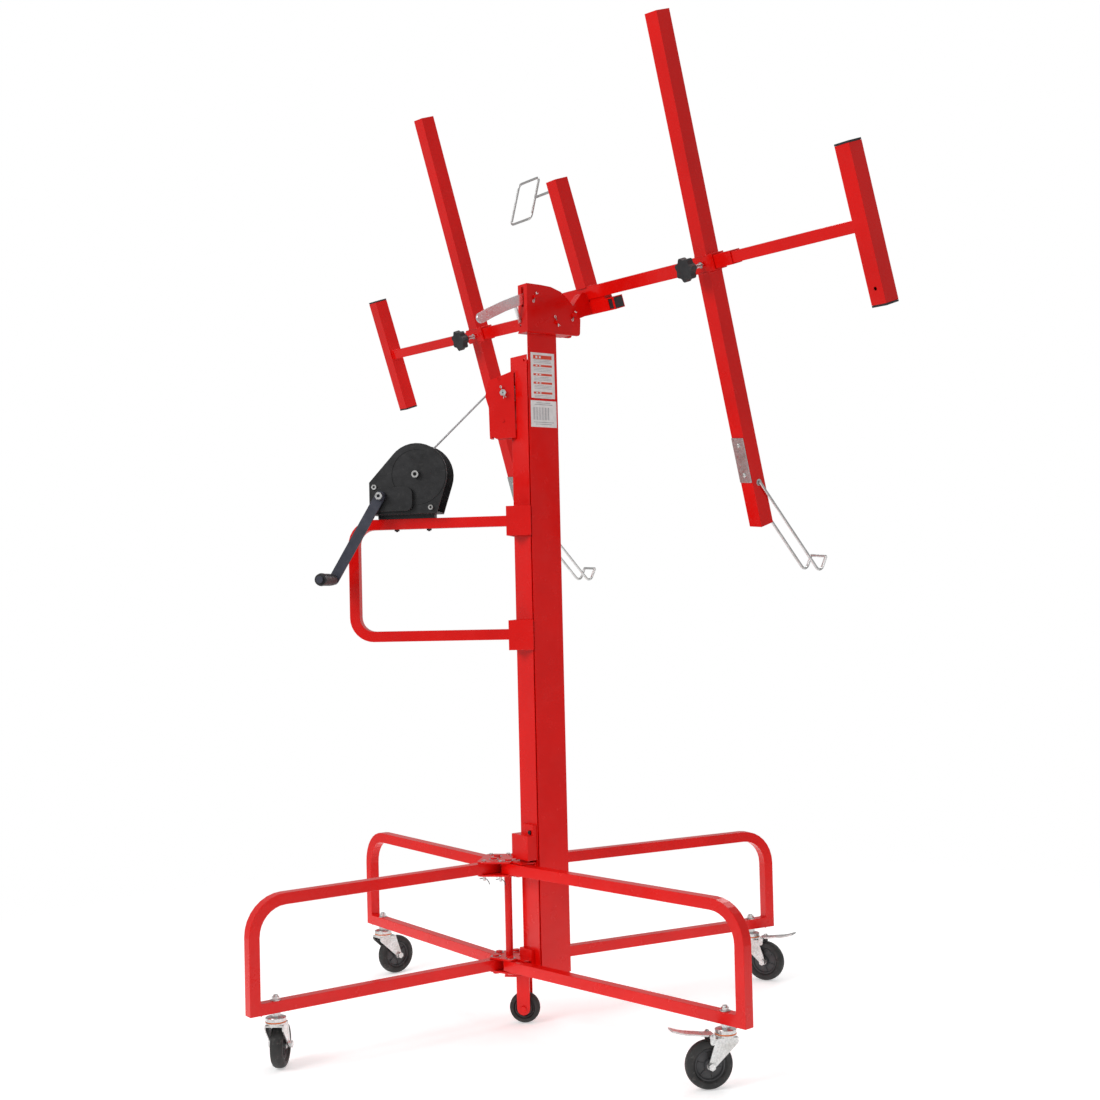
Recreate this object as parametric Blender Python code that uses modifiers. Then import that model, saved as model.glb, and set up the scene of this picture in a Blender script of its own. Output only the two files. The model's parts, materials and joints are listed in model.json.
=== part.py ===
"""Drywall panel lift: rolling base, telescoping mast, winch and tilting cradle.

Frame: metres, +Z up, origin on the floor under the middle of the whole outline. Parts are
placed from the middle of the mast, which stands at MAST_PLACE. X runs along the base's
line of symmetry, with the winch handle at -X. The mast stands cornerwise on that line:
its local x runs along the cradle bar, and its local y towards the board.
"""

import math

import bmesh
import bpy
from mathutils import Euler, Matrix, Vector
from mathutils.geometry import convex_hull_2d

GAP = 0.0003
TURN = math.pi / 4

# The mast's place on the floor, from the middle of the lift's outline.
MAST_FRAME = "mast_place"
MAST_PLACE = (-0.10886, -0.10179)

# Mast: three nested channels.
MAST_X = 0.0355
MAST_Y = 0.0431
WALL = 0.0025
MAST_FOOT = 0.115
POST_TOP = 1.582
HEAD_SEAT = 1.632
MIDDLE_X = 0.0265
MIDDLE_BACK = -0.029
MIDDLE_FRONT = 0.0375

# Base: hinge axes, square tube legs and the hub plates that hold them.
TUBE = 0.025
TUBE_WALL = 0.002
LOW_RAIL = 0.1421
TOP_RAIL = 0.3705
LEG_BEND = 0.075
RAIL_TAIL = 0.012
HINGE_BOLT = 0.005
LEFT_HINGE = (-0.1195, 0.020)
RIGHT_HINGE = (-0.081, 0.0385)
LEFT_SPLAY = math.radians(134.5)
RIGHT_SPLAY = math.radians(37.5)
LEFT_STEM, LEFT_END = 0.573, 0.638
RIGHT_STEM, RIGHT_END = 0.6595, 0.7235
REAR_RIGHT_STEM, REAR_RIGHT_END = 0.6845, 0.7505
HUB_PLATE = 0.004
HUB_GAP = 0.0005

# Casters.
WHEEL_RADIUS = 0.050
WHEEL_WIDTH = 0.028
WHEEL_BORE = 0.0056
AXLE = 0.005
TRAIL = 0.038
FORK_TOP = 0.1045
CENTRE_WHEEL = (-0.056, 0.0, 0.0365)
CENTRE_RADIUS = 0.0363

# Handle loop and winch, in the plane y = 0.
HANDLE_TOP = 1.191
HANDLE_LOW = 0.920
HANDLE_END = -0.4515
HANDLE_START = -0.0645
HANDLE_BEND = 0.0475
WINCH = (-0.285, 0.0, 1.308)
WINCH_RADIUS = 0.0755
SHAFT = (-0.369, 0.0, 1.257)
WINCH_FLOOR = 1.214
NEAR_PLATE = -0.037
FAR_PLATE = 0.035
WINCH_BOLTS = (-0.345, -0.265)
GRIP_POINT = (-0.488, 1.060)

# Cable pulley, in a plane parallel to the handle's.
PULLEY = (-0.070, -0.0106, 1.496)
PULLEY_GROOVE = 0.026
CABLE = 0.0024

# Head: pivot places as (away, up).
LEVER_PIVOT = (-0.029, 1.716)
STOP_PIN = (0.033, 1.661)
CRADLE_PIVOT = (0.084, 1.681)
HEAD_LEFT, HEAD_RIGHT = 0.0155, 0.0525
HEAD_WALL = 0.0035

# Cradle, measured along (across, away, up) from the middle of its bar.
CRADLE_LEAN = math.radians(18.24)
BAR_FROM_PIVOT = (0.005, 0.0761, 0.0234)
BAR = 0.030
BAR_INSIDE = 0.026
BAR_TURN = 0.020
BAR_STEP = 0.0186
BAR_ENDS = {"right": (-0.070, 0.555), "left": (-0.510, 0.134)}
ARM = 0.038
ARM_WALL = 0.002
ARM_PLACE = 0.4655
SLEEVE = 0.037
SLEEVE_INSIDE = 0.031
SLEEVE_LENGTH = 0.072
END_BAR_PLACE = 0.93
END_BAR_LENGTH = 0.318
POST_ACROSS = 0.030
LOOP_TURN = math.radians(-33)
HOOK_PIVOT = {"right": -0.505, "left": -0.490}
HOOK_WIRE = 0.0034
HOOK_HALF = 0.0236

RED = (0.66, 0.010, 0.008)
ZINC = (0.72, 0.72, 0.70)
BLACK = (0.015, 0.015, 0.017)
RUBBER = (0.02, 0.02, 0.021)
DARK_BLUE = (0.045, 0.048, 0.065)

X, Y, Z = Vector((1, 0, 0)), Vector((0, 1, 0)), Vector((0, 0, 1))


def clear_scene():
    for old in list(bpy.data.objects):
        bpy.data.objects.remove(old, do_unlink=True)


def new_collection(name):
    collection = bpy.data.collections.new(name)
    bpy.context.scene.collection.children.link(collection)
    return collection


def paint(name, colour, roughness, metallic):
    material = bpy.data.materials.new(name)
    material.use_nodes = True
    shader = material.node_tree.nodes["Principled BSDF"]
    shader.inputs["Base Color"].default_value = (*colour, 1.0)
    shader.inputs["Roughness"].default_value = roughness
    shader.inputs["Metallic"].default_value = metallic
    return material


def axes(name, location, rotation=(0, 0, 0), parent=None):
    """An empty that marks a joint axis or a local frame."""
    parent = parent or bpy.data.objects.get(MAST_FRAME)
    empty = bpy.data.objects.new(name, None)
    empty.location = location
    empty.rotation_euler = rotation
    empty.parent = parent
    empty.hide_render = True
    parts.objects.link(empty)
    return empty


def raw(mesh):
    """A working object that the next union or cut uses up."""
    piece = bpy.data.objects.new("piece", mesh)
    cutters.objects.link(piece)
    return piece


def from_bmesh(shape, matrix=None):
    mesh = bpy.data.meshes.new("piece")
    if matrix is not None:
        bmesh.ops.transform(shape, matrix=matrix, verts=shape.verts)
    shape.to_mesh(mesh)
    shape.free()
    return raw(mesh)


def box(size, centre, turn=(0, 0, 0)):
    shape = bmesh.new()
    bmesh.ops.create_cube(shape, size=1.0)
    place = Matrix.Translation(centre) @ Euler(turn).to_matrix().to_4x4()
    return from_bmesh(shape, place @ Matrix.Diagonal((*size, 1.0)))


def span(low, high):
    """A box between two opposite corners."""
    low, high = Vector(low), Vector(high)
    return box(high - low, (low + high) / 2)


def rod(radius, start, end, sides=16):
    start, end = Vector(start), Vector(end)
    along = end - start
    shape = bmesh.new()
    bmesh.ops.create_cone(
        shape, cap_ends=True, segments=sides, radius1=radius, radius2=radius, depth=along.length
    )
    turn = along.to_track_quat("Z", "Y").to_matrix().to_4x4()
    return from_bmesh(shape, Matrix.Translation((start + end) / 2) @ turn)


def settled(item):
    """The evaluated mesh of a curve, its caps welded, as a working object."""
    cutters.objects.link(item)
    bpy.context.view_layer.update()
    graph = bpy.context.evaluated_depsgraph_get()
    mesh = bpy.data.meshes.new_from_object(item.evaluated_get(graph))
    shape = bmesh.new()
    shape.from_mesh(mesh)
    bmesh.ops.remove_doubles(shape, verts=shape.verts, dist=1e-6)
    bmesh.ops.recalc_face_normals(shape, faces=shape.faces)
    shape.to_mesh(mesh)
    shape.free()
    piece = raw(mesh)
    piece.matrix_world = item.matrix_world
    bpy.data.objects.remove(item, do_unlink=True)
    return piece


def curve_object(points, closed, dimensions):
    curve = bpy.data.curves.new("outline", "CURVE")
    curve.dimensions = dimensions
    spline = curve.splines.new("POLY")
    spline.points.add(len(points) - 1)
    for slot, point in zip(spline.points, points):
        slot.co = (*point, 0.0, 1.0) if len(point) == 2 else (*point, 1.0)
    spline.use_cyclic_u = closed
    return bpy.data.objects.new("outline", curve)


FACING = {
    "x": Matrix(((0, 0, 1), (1, 0, 0), (0, 1, 0))).to_4x4(),
    "y": Matrix(((1, 0, 0), (0, 0, -1), (0, 1, 0))).to_4x4(),
    "z": Matrix.Identity(4),
}


def plate(outline, thickness, facing, offset):
    """A flat outline, extruded: (y, z) facing x, (x, z) facing y or (x, y) facing z."""
    item = curve_object(outline, True, "2D")
    item.data.fill_mode = "BOTH"
    item.data.extrude = thickness / 2
    step = {"x": X, "y": Y, "z": Z}[facing] * offset
    item.matrix_world = Matrix.Translation(step) @ FACING[facing]
    return settled(item)


def bent_bar(route, side, facing, offset=0.0, height=None):
    """A square bar swept along a flat route, laid out as plate() lays out its outline."""
    half, tall = side / 2, (height or side) / 2
    profile = curve_object([(-half, -tall), (half, -tall), (half, tall), (-half, tall)], True, "2D")
    cutters.objects.link(profile)
    item = curve_object(route, False, "2D")
    item.data.bevel_mode = "OBJECT"
    item.data.bevel_object = profile
    item.data.use_fill_caps = True
    step = {"x": X, "y": Y, "z": Z}[facing] * offset
    item.matrix_world = Matrix.Translation(step) @ FACING[facing]
    piece = settled(item)
    bpy.data.objects.remove(profile, do_unlink=True)
    return piece


def wire(route, radius, closed=False):
    item = curve_object(route, closed, "3D")
    item.data.bevel_depth = radius
    item.data.bevel_resolution = 2
    item.data.use_fill_caps = not closed
    return settled(item)


def turned(profile, steps, centre, facing):
    """A profile of (radius, height) points turned about the facing axis."""
    shape = bmesh.new()
    corners = [shape.verts.new((radius, 0, height)) for radius, height in profile]
    for first, second in zip(corners, corners[1:] + corners[:1]):
        shape.edges.new((first, second))
    mesh = bpy.data.meshes.new("piece")
    shape.to_mesh(mesh)
    shape.free()
    item = bpy.data.objects.new("piece", mesh)
    cutters.objects.link(item)
    screw = item.modifiers.new("turn", "SCREW")
    screw.steps = steps
    screw.render_steps = steps
    screw.use_merge_vertices = True
    screw.merge_threshold = 1e-6
    swing = {"x": Matrix.Rotation(TURN * 2, 4, "Y"), "y": Matrix.Rotation(-TURN * 2, 4, "X")}
    place = Matrix.Translation(centre) @ swing.get(facing, Matrix.Identity(4))
    bpy.context.view_layer.update()
    graph = bpy.context.evaluated_depsgraph_get()
    made = bpy.data.meshes.new_from_object(item.evaluated_get(graph))
    bpy.data.objects.remove(item, do_unlink=True)
    solid = bmesh.new()
    solid.from_mesh(made)
    bmesh.ops.remove_doubles(solid, verts=solid.verts, dist=1e-6)
    bmesh.ops.recalc_face_normals(solid, faces=solid.faces)
    return from_bmesh(solid, place)


def fused(pieces, cuts=()):
    """One mesh from the union of the pieces, less the cuts."""
    base = pieces[0]
    for operation, tools in (("UNION", pieces[1:]), ("DIFFERENCE", cuts)):
        for tool in tools:
            boolean = base.modifiers.new(operation.lower(), "BOOLEAN")
            boolean.operation = operation
            boolean.object = tool
            tool.hide_render = True
            tool.display_type = "WIRE"
    bpy.context.view_layer.update()
    graph = bpy.context.evaluated_depsgraph_get()
    mesh = bpy.data.meshes.new_from_object(base.evaluated_get(graph))
    mesh.transform(base.matrix_world)
    for used in (*pieces, *cuts):
        bpy.data.objects.remove(used, do_unlink=True)
    return mesh


def part(name, finish, pieces, cuts=(), parent=None, location=(0, 0, 0), smooth=35):
    """A finished sub-part; its pieces are given in its own frame, at its location."""
    mesh = fused(pieces, cuts)
    mesh.name = name
    mesh.materials.clear()
    mesh.materials.append(finish)
    mesh.shade_smooth()
    mesh.set_sharp_from_angle(angle=math.radians(smooth))
    made = bpy.data.objects.new(name, mesh)
    made.parent = parent or bpy.data.objects[MAST_FRAME]
    made.location = location
    parts.objects.link(made)
    return made


def arc(centre, radius, start, stop, steps=6):
    """Points on an arc, by angles in degrees."""
    turns = [math.radians(start + (stop - start) * i / steps) for i in range(steps + 1)]
    return [(centre[0] + radius * math.cos(t), centre[1] + radius * math.sin(t)) for t in turns]


def padded_outline(corners, radius, steps=5):
    """A convex anticlockwise outline grown by a radius, with its corners round."""
    points = []
    for i, corner in enumerate(corners):
        before, after = corners[i - 1], corners[(i + 1) % len(corners)]
        into = math.degrees(math.atan2(corner[1] - before[1], corner[0] - before[0]))
        out = math.degrees(math.atan2(after[1] - corner[1], after[0] - corner[0]))
        bend = (out - into) % 360
        points += arc(corner, radius, into - 90, into - 90 + bend, steps)
    return points


def rounded_route(corners, radius, steps=8):
    """An open flat route whose inner corners are arcs."""
    route = [corners[0]]
    for before, corner, after in zip(corners, corners[1:], corners[2:]):
        corner = Vector(corner)
        back = (Vector(before) - corner).normalized()
        ahead = (Vector(after) - corner).normalized()
        half = back.angle(ahead) / 2
        reach = radius / math.tan(half)
        centre = corner + (back + ahead).normalized() * (radius / math.sin(half))
        start = corner + back * reach - centre
        sweep = (corner + ahead * reach - centre).angle_signed(start)
        for i in range(steps + 1):
            turn = Matrix.Rotation(sweep * i / steps, 2)
            route.append(tuple(centre + turn @ start))
    return [*route, corners[-1]]


# ---------------------------------------------------------------- base


def hub(name, rail, corners, radius, extras, cuts):
    """Two plates around the rails, held apart by the four hinge bolts."""
    top = rail + TUBE / 2 + HUB_GAP
    low = rail - TUBE / 2 - HUB_GAP
    outline = padded_outline(corners, radius)
    pieces = [
        plate(outline, HUB_PLATE, "z", top + HUB_PLATE / 2),
        plate(outline, HUB_PLATE, "z", low - HUB_PLATE / 2),
    ]
    for x, y in (LEFT_HINGE, RIGHT_HINGE):
        for side in (-1, 1):
            place = (x, side * y)
            pieces.append(rod(HINGE_BOLT, (*place, low - 0.009), (*place, top + 0.007), 12))
            pieces.append(rod(0.0085, (*place, top + HUB_PLATE - 0.0005), (*place, top + 0.0085), 6))
            pieces.append(rod(0.0080, (*place, low - 0.0095), (*place, low - 0.0035), 6))
    return part(name, red, pieces + extras, cuts)


def mast_box(low, high):
    """A box in the mast's own axes, for a part that stands in the world's."""
    low, high = Vector(low), Vector(high)
    middle = Matrix.Rotation(-TURN, 3, "Z") @ ((low + high) / 2)
    return box(high - low, middle, (0, 0, -TURN))


def mast_tongue(left, right, near, far, low):
    """A tongue in the thickness of a hub plate, a little thinner than the plate."""
    skin = 0.0003
    return mast_box((left, near, low + skin), (right, far, low + HUB_PLATE - skin))


def make_hubs():
    plates_top = TOP_RAIL + TUBE / 2 + HUB_GAP + HUB_PLATE
    plates_low = TOP_RAIL - TUBE / 2 - HUB_GAP - HUB_PLATE
    face = -MAST_Y - 0.0005
    wide = [(-0.138, -0.045), (-0.083, -0.0435), (-0.083, 0.0435), (-0.138, 0.045)]
    hub(
        "hub_upper",
        TOP_RAIL,
        wide,
        0.016,
        [
            mast_tongue(-0.030, 0.026, -0.085, face - 0.001, plates_top - HUB_PLATE),
            mast_tongue(-0.029, 0.010, -0.085, face - 0.001, plates_low),
            mast_box((-0.031, face - 0.004, plates_low + 0.001), (0.027, face, plates_top - 0.001)),
            mast_box((-0.018, face - 0.016, plates_top - 0.002), (0.018, face - 0.012, 0.428)),
        ],
        [],
    )
    bottom = LOW_RAIL - TUBE / 2 - HUB_GAP - HUB_PLATE
    tight = [LEFT_HINGE, (LEFT_HINGE[0], -LEFT_HINGE[1])]
    tight += [(RIGHT_HINGE[0], -RIGHT_HINGE[1]), RIGHT_HINGE]
    lower_top = LOW_RAIL + TUBE / 2 + HUB_GAP + HUB_PLATE
    hub(
        "hub_lower",
        LOW_RAIL,
        tight,
        0.0155,
        [
            mast_tongue(-0.034, 0.010, -0.075, face - 0.001, lower_top - HUB_PLATE),
            mast_tongue(-0.033, 0.009, -0.074, face - 0.001, bottom),
            mast_box((-0.036, face - 0.010, bottom + 0.001), (0.012, face, 0.180)),
        ],
        [],
    )
    part(
        "hub_spacer_tube",
        red,
        [rod(0.009, (0, 0, 0), (0, 0, plates_low - lower_top - 2 * GAP), 16)],
        [],
        location=(-0.0905, 0, lower_top + GAP),
    )


def leg(tag, hinge, azimuth, stem, end):
    """One folding leg frame: a bent top rail that turns down, and a low rail."""
    fold = axes("leg_hinge_" + tag, (*hinge, 0), (0, 0, azimuth))
    end_x = end - TUBE / 2
    foot = LOW_RAIL - TUBE / 2
    route = rounded_route([(-RAIL_TAIL, TOP_RAIL), (end_x, TOP_RAIL), (end_x, foot)], LEG_BEND)
    bore = TUBE - 2 * TUBE_WALL
    inner = rounded_route([(-0.02, TOP_RAIL), (end_x, TOP_RAIL), (end_x, foot - 0.01)], LEG_BEND)
    low_end = end - TUBE + 0.001
    pieces = [
        bent_bar(route, TUBE, "y"),
        span((-RAIL_TAIL, -TUBE / 2, foot), (low_end, TUBE / 2, foot + TUBE)),
    ]
    cuts = [
        bent_bar(inner, bore, "y"),
        box((low_end - 0.004 + 0.02, bore, bore), ((low_end - 0.004 - 0.02) / 2, 0, LOW_RAIL)),
        rod(HINGE_BOLT + 0.0006, (0, 0, foot - 0.01), (0, 0, 0.40), 12),
        rod(0.0066, (stem, 0, foot - 0.01), (stem, 0, foot + TUBE + 0.01), 12),
    ]
    part("leg_frame_" + tag, red, pieces, cuts, parent=fold)
    return fold


def caster(tag, fold, stem, swivel, brake):
    """A swivel caster under the low rail; its fork trails along local +X."""
    turn = axes("caster_swivel_" + tag, (stem, 0, 0), (0, 0, swivel), fold)
    plate_y = 0.019
    crown = FORK_TOP - 0.003
    axle = (TRAIL, WHEEL_RADIUS)
    outline = padded_outline([axle, (0.022, crown - 0.004), (-0.014, crown - 0.004)], 0.0069, 4)
    outline = [(x, min(z, FORK_TOP)) for x, z in outline]
    pieces = [span((-0.021, -plate_y - 0.001, crown), (0.028, plate_y + 0.001, FORK_TOP))]
    pieces += [plate(outline, 0.0026, "y", side * plate_y) for side in (-1, 1)]
    pieces += [
        rod(AXLE, (TRAIL, -0.024, WHEEL_RADIUS), (TRAIL, 0.024, WHEEL_RADIUS), 12),
        rod(0.0078, (TRAIL, -0.0275, WHEEL_RADIUS), (TRAIL, -0.020, WHEEL_RADIUS), 6),
        rod(0.0078, (TRAIL, 0.020, WHEEL_RADIUS), (TRAIL, 0.0255, WHEEL_RADIUS), 6),
        rod(0.0225, (0, 0, FORK_TOP - 0.001), (0, 0, 0.1085), 18),
        rod(0.0190, (0, 0, 0.1080), (0, 0, 0.1120), 18),
        rod(0.0225, (0, 0, 0.1115), (0, 0, 0.1185), 18),
        rod(0.0105, (0, 0, 0.1180), (0, 0, LOW_RAIL - TUBE / 2 - GAP), 6),
        rod(0.0055, (0, 0, 0.115), (0, 0, 0.166), 12),
        rod(0.0085, (0, 0, LOW_RAIL + TUBE / 2 + GAP), (0, 0, 0.1625), 6),
    ]
    if brake:
        ears = padded_outline([(0.034, crown - 0.004), (0.034, 0.1100)], 0.0055, 4)
        pieces += [plate(ears, 0.0026, "y", side * plate_y) for side in (-1, 1)]
    bore = [rod(0.0027, (0.034, -0.03, 0.1105), (0.034, 0.03, 0.1105), 12)] if brake else []
    part("caster_fork_" + tag, zinc, pieces, bore, parent=turn)
    half = WHEEL_WIDTH / 2
    tread = [
        (WHEEL_BORE, half),
        (0.014, half),
        (0.017, half - 0.004),
        (0.034, half - 0.004),
        (0.038, half - 0.001),
        (WHEEL_RADIUS, half - 0.006),
    ]
    tread += [(radius, -height) for radius, height in reversed(tread)]
    part(
        "caster_wheel_" + tag,
        rubber,
        [turned(tread, 28, (0, 0, 0), "y")],
        parent=turn,
        location=(TRAIL, 0, WHEEL_RADIUS),
    )
    if brake:
        route = [(-0.006, 0.0), (0.012, 0.0005), (0.052, 0.0060), (0.066, 0.0090), (0.084, 0.0150)]
        part(
            "brake_pedal_" + tag,
            zinc,
            [
                bent_bar(route, 0.0034, "y", 0.0, 0.030),
                rod(0.0023, (0, -0.0225, 0), (0, 0.0225, 0), 12),
            ],
            parent=turn,
            location=(0.034, 0, 0.1105),
        )


def make_legs():
    plan = (
        ("front_left", LEFT_HINGE, -1, LEFT_SPLAY, LEFT_STEM, LEFT_END, 96, False),
        ("rear_left", LEFT_HINGE, 1, LEFT_SPLAY, LEFT_STEM, LEFT_END, 47, False),
        ("front_right", RIGHT_HINGE, -1, RIGHT_SPLAY, RIGHT_STEM, RIGHT_END, 202, True),
        ("rear_right", RIGHT_HINGE, 1, RIGHT_SPLAY, REAR_RIGHT_STEM, REAR_RIGHT_END, -19, True),
    )
    for tag, hinge, side, splay, stem, end, heading, brake in plan:
        fold = leg(tag, (hinge[0], side * hinge[1]), side * splay, stem, end)
        caster(tag, fold, stem, math.radians(heading) - side * splay, brake)


def make_centre_wheel():
    """A fixed wheel under the mast's foot, on a fork that hangs from the lower hub."""
    x, y, z = CENTRE_WHEEL
    top = MAST_FOOT - 0.0007
    under_hub = LOW_RAIL - TUBE / 2 - HUB_GAP - HUB_PLATE - GAP
    cheek = padded_outline([(x, z), (x, top)], 0.0155, 6)
    cheek = [(u, min(v, top)) for u, v in cheek]
    pieces = [plate(cheek, 0.0030, "y", y + side * 0.0185) for side in (-1, 1)]
    pieces += [
        span((-0.100, y - 0.0191, top - 0.0037), (x + 0.0149, y + 0.0191, top - 0.0003)),
        span((-0.0992, y - 0.0186, top - 0.0021), (-0.0624, y + 0.0186, under_hub)),
        rod(AXLE, (x, y - 0.024, z), (x, y + 0.024, z), 12),
        rod(0.0075, (x, y - 0.0260, z), (x, y - 0.0190, z), 6),
        rod(0.0075, (x, y + 0.0190, z), (x, y + 0.0260, z), 6),
    ]
    part("centre_fork", red, pieces)
    rim = [
        (WHEEL_BORE, 0.014),
        (0.012, 0.014),
        (0.024, 0.011),
        (0.027, 0.013),
        (CENTRE_RADIUS, 0.009),
    ]
    rim += [(radius, -height) for radius, height in reversed(rim)]
    part("centre_wheel", rubber, [turned(rim, 24, (0, 0, 0), "y")], location=CENTRE_WHEEL)


# ---------------------------------------------------------------- mast


def make_mast():
    mast = axes("mast_axes", (0, 0, 0), (0, 0, -TURN))
    notch_centre = Matrix.Rotation(TURN, 3, "Z") @ Vector((PULLEY[0] + 0.011, PULLEY[1], PULLEY[2] + 0.003))
    pulley_slot = box((0.048, 0.014, 0.090), notch_centre, (0, 0, TURN))
    part(
        "mast_post",
        red,
        [
            span((-MAST_X, -MAST_Y, MAST_FOOT), (0.0322, -MAST_Y + WALL, POST_TOP)),
            span((-MAST_X, -MAST_Y, MAST_FOOT), (-MAST_X + WALL, MAST_Y, POST_TOP)),
            span((-MAST_X, -MAST_Y, MAST_FOOT), (0.0322, MAST_Y, MAST_FOOT + 0.004)),
        ],
        [pulley_slot, rod(0.0035, (0.022, -0.06, 1.569), (0.022, -0.03, 1.569), 10)],
        parent=mast,
    )
    foot = MAST_FOOT + 0.0055
    part(
        "mast_label_section",
        red,
        [
            span((MAST_X - WALL, -MAST_Y + 0.003, foot), (MAST_X, MAST_Y, HEAD_SEAT)),
            span((-0.0300, MAST_Y - WALL, foot), (MAST_X, MAST_Y, HEAD_SEAT)),
            span((-0.0322, -0.0280, foot), (-0.0297, MAST_Y, POST_TOP - 0.008)),
        ],
        parent=mast,
    )
    wall = 0.002
    middle_top = POST_TOP - 0.012
    part(
        "mast_middle_section",
        red,
        [
            span((-MIDDLE_X, MIDDLE_BACK, foot), (MIDDLE_X, MIDDLE_FRONT, middle_top)),
        ],
        [
            span(
                (-MIDDLE_X + wall, MIDDLE_BACK + wall, foot - 0.01),
                (MIDDLE_X - wall, MIDDLE_FRONT - wall, middle_top + 0.01),
            ),
            span((-0.012, MIDDLE_BACK - 0.01, foot - 0.01), (0.012, MIDDLE_BACK + 0.01, middle_top + 0.01)),
        ],
        parent=mast,
    )
    face = -MAST_Y - GAP
    part(
        "mast_socket",
        red,
        [
            span((-0.036, face - 0.026, 0.392), (0.030, face, 0.450)),
            span((-0.016, face - 0.010, 0.445), (0.030, face, 0.474)),
        ],
        [
            span((-0.0325, face - 0.0225, 0.380), (0.0265, face - 0.0035, 0.4465)),
            span((0.014, face - 0.020, 0.452), (0.022, face - 0.004, 0.460)),
        ],
        parent=mast,
    )
    return mast


def handle_bracket(tag, low, high):
    """A channel that boxes in the mast's left corner and takes the handle's end."""
    web_x = -0.0640
    side_y = 0.0578
    part(
        "handle_bracket_" + tag,
        red,
        [
            span((web_x, -side_y - 0.0018, low), (web_x + 0.004, side_y + 0.0018, high)),
            span((web_x, -side_y - 0.0018, low), (-0.0045, -side_y + 0.0018, high)),
            span((web_x, side_y - 0.0018, low), (0.0060, side_y + 0.0018, high)),
        ],
    )


def make_handle():
    handle_bracket("upper", 1.154, 1.224)
    handle_bracket("lower", 0.884, 0.9545)
    corners = [
        (HANDLE_START, HANDLE_TOP),
        (HANDLE_END, HANDLE_TOP),
        (HANDLE_END, HANDLE_LOW),
        (HANDLE_START, HANDLE_LOW),
    ]
    longer = [(HANDLE_START + 0.02, z) if x == HANDLE_START else (x, z) for x, z in corners]
    bore = TUBE - 2 * TUBE_WALL
    part(
        "handle_loop",
        red,
        [bent_bar(rounded_route(corners, HANDLE_BEND), TUBE, "y")],
        [
            bent_bar(rounded_route(longer, HANDLE_BEND), bore, "y"),
            *[rod(0.0036, (u, 0, HANDLE_TOP - 0.02), (u, 0, HANDLE_TOP + 0.02), 10) for u in WINCH_BOLTS],
        ],
    )


# ---------------------------------------------------------------- winch


def winch_cheek(offset):
    """A side plate: a disc over the drum that runs straight down to a foot."""
    x, _, z = WINCH
    points = arc((x, z), WINCH_RADIUS, 0, 350, 35)
    points += [(-0.402, 1.2140), (-0.402, 1.2920), (-0.236, 1.2140)]
    outline = [points[i] for i in convex_hull_2d(points)]
    return plate(outline, 0.003, "y", offset)


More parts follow.
